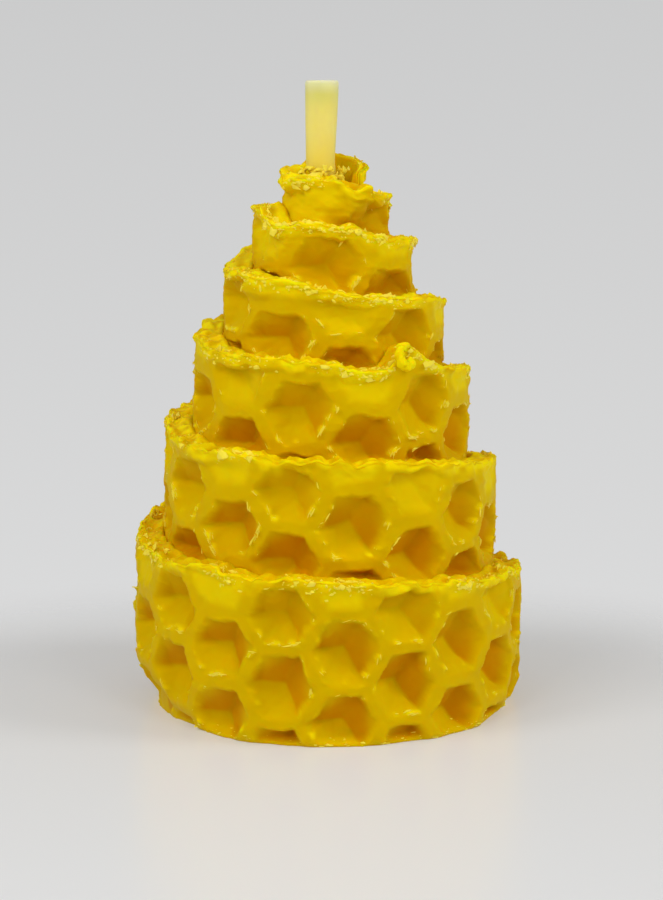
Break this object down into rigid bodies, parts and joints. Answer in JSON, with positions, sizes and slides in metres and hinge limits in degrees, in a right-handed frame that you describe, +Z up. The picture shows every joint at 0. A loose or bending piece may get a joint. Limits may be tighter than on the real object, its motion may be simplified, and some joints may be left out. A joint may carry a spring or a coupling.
{
  "type": "rolled honeycomb candle",
  "caption": "Small hand-rolled candle of honeycomb wax sheet, stepped up in a spiral to a waxed wick; stands on its flat base.",
  "frame": {"origin": "middle of the roll on the base plane, inside the wick's lower end", "axes": "+Z up the wick, -Y towards the side the low end of each step faces past, +X to the right of that side"},
  "size_m": [0.0307, 0.0313, 0.0485],
  "materials": {
    "comb_wax": "soft satin yellow beeswax",
    "wick_wax": "smooth pale yellow wax",
    "cotton": "waxed cotton cord"
  },
  "bodies": {
    "root": {"comb_strip": "comb_wax", "wick_core": "cotton", "wick_coat": "wick_wax", "rim_curl": "comb_wax"}
  },
  "joints": []
}
